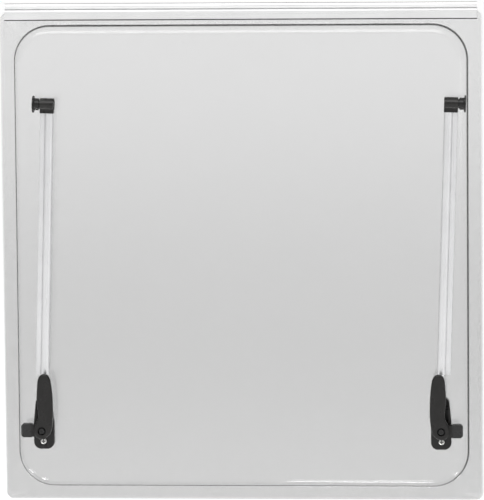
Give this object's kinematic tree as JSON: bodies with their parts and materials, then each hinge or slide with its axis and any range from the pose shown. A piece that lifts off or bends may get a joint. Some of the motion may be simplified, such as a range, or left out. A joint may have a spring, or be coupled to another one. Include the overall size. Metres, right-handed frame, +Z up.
{
  "type": "window sash",
  "caption": "Top-hung double-glazed acrylic window sash with a hinge rail, two telescopic stays and two turning latch levers.",
  "frame": {"origin": "on the axis of the round hinge bead, at the middle of its length", "axes": "+Z up; +X to the right seen from the room; the room side, with the stays and latches, faces -Y"},
  "size_m": [0.54, 0.0518, 0.561],
  "materials": {
    "cast_acrylic": "clear cast acrylic sheet, faint grey tint",
    "drawn_acrylic": "clear acrylic sheet, vacuum drawn",
    "clear_adhesive": "clear solvent adhesive",
    "anodised_rail": "extruded, natural anodised",
    "satin_tube": "extruded, satin anodised",
    "aluminium_rivet": "plain",
    "gasket_rubber": "black EPDM",
    "black_nylon": "moulded glass-filled nylon, fine texture",
    "black_acetal": "moulded acetal, smooth",
    "zinc_steel": "zinc plated",
    "spring_steel": "stainless spring steel",
    "bright_rod": "drawn stainless rod",
    "brass": "turned"
  },
  "bodies": {
    "sash": {"outer_pane": "cast_acrylic", "inner_pane": "drawn_acrylic", "perimeter_bond": "clear_adhesive", "hinge_rail": "anodised_rail", "rail_gasket": "gasket_rubber", "left_latch_base": "black_nylon", "left_base_pad": "gasket_rubber", "left_base_screws": "zinc_steel", "left_screw_inserts": "brass", "left_mounting_block": "cast_acrylic", "left_pivot_ring": "spring_steel", "left_foot_pin": "zinc_steel", "left_button_spring": "spring_steel", "right_latch_base": "black_nylon", "right_base_pad": "gasket_rubber", "right_base_screws": "zinc_steel", "right_screw_inserts": "brass", "right_mounting_block": "cast_acrylic", "right_pivot_ring": "spring_steel", "right_foot_pin": "zinc_steel", "right_button_spring": "spring_steel"},
    "left_latch_lever": {"left_lever": "black_nylon", "left_tongue_shoe": "black_acetal"},
    "left_button": {"left_release_button": "black_acetal", "left_button_plunger": "black_acetal"},
    "left_stay_rod": {"left_stay_foot": "black_nylon", "left_inner_rod": "bright_rod", "left_rod_stop": "black_acetal"},
    "left_stay_tube": {"left_outer_tube": "satin_tube", "left_guide_bush": "black_acetal", "left_catch_strip": "spring_steel", "left_stay_head": "black_nylon", "left_tube_rivet": "aluminium_rivet"},
    "left_stay_stud": {"left_stud": "black_acetal", "left_stud_clip": "spring_steel"},
    "right_latch_lever": {"right_lever": "black_nylon", "right_tongue_shoe": "black_acetal"},
    "right_button": {"right_release_button": "black_acetal", "right_button_plunger": "black_acetal"},
    "right_stay_rod": {"right_stay_foot": "black_nylon", "right_inner_rod": "bright_rod", "right_rod_stop": "black_acetal"},
    "right_stay_tube": {"right_outer_tube": "satin_tube", "right_guide_bush": "black_acetal", "right_catch_strip": "spring_steel", "right_stay_head": "black_nylon", "right_tube_rivet": "aluminium_rivet"},
    "right_stay_stud": {"right_stud": "black_acetal", "right_stud_clip": "spring_steel"}
  },
  "joints": [
    {"name": "left_lever_turn", "type": "hinge", "parent": "sash", "child": "left_latch_lever", "pos_m": [-0.224, -0.0334, -0.474], "axis": [0, 1, 0], "range_deg": [0, 90]},
    {"name": "left_button_press", "type": "slide", "parent": "sash", "child": "left_button", "axis": [0, 1, 0], "range_m": [0, 0.0015], "stiffness_N_per_m": 400, "springref_m": -0.002, "deforming": ["left_button_spring"]},
    {"name": "left_stay_fold", "type": "hinge", "parent": "sash", "child": "left_stay_rod", "pos_m": [-0.2227, -0.0248, -0.45], "axis": [1, 0, 0], "range_deg": [0, 12.5]},
    {"name": "left_stay_extend", "type": "slide", "parent": "left_stay_rod", "child": "left_stay_tube", "axis": [0.0314, -0.014, 0.9994], "range_m": [-0.024, 0.13]},
    {"name": "left_stud_turn", "type": "hinge", "parent": "left_stay_tube", "child": "left_stay_stud", "pos_m": [-0.21194, -0.02958, -0.1077], "axis": [0.9995, 0.0004, -0.0314], "continuous": true},
    {"name": "right_lever_turn", "type": "hinge", "parent": "sash", "child": "right_latch_lever", "pos_m": [0.224, -0.0334, -0.474], "axis": [0, -1, 0], "range_deg": [0, 90]},
    {"name": "right_button_press", "type": "slide", "parent": "sash", "child": "right_button", "axis": [0, 1, 0], "range_m": [0, 0.0015], "stiffness_N_per_m": 400, "springref_m": -0.002, "deforming": ["right_button_spring"]},
    {"name": "right_stay_fold", "type": "hinge", "parent": "sash", "child": "right_stay_rod", "pos_m": [0.2227, -0.0248, -0.45], "axis": [1, 0, 0], "range_deg": [0, 12.5]},
    {"name": "right_stay_extend", "type": "slide", "parent": "right_stay_rod", "child": "right_stay_tube", "axis": [0.0314, -0.014, 0.9994], "range_m": [-0.024, 0.13]},
    {"name": "right_stud_turn", "type": "hinge", "parent": "right_stay_tube", "child": "right_stay_stud", "pos_m": [0.23346, -0.02958, -0.1077], "axis": [0.9995, 0.0004, -0.0314], "continuous": true}
  ]
}
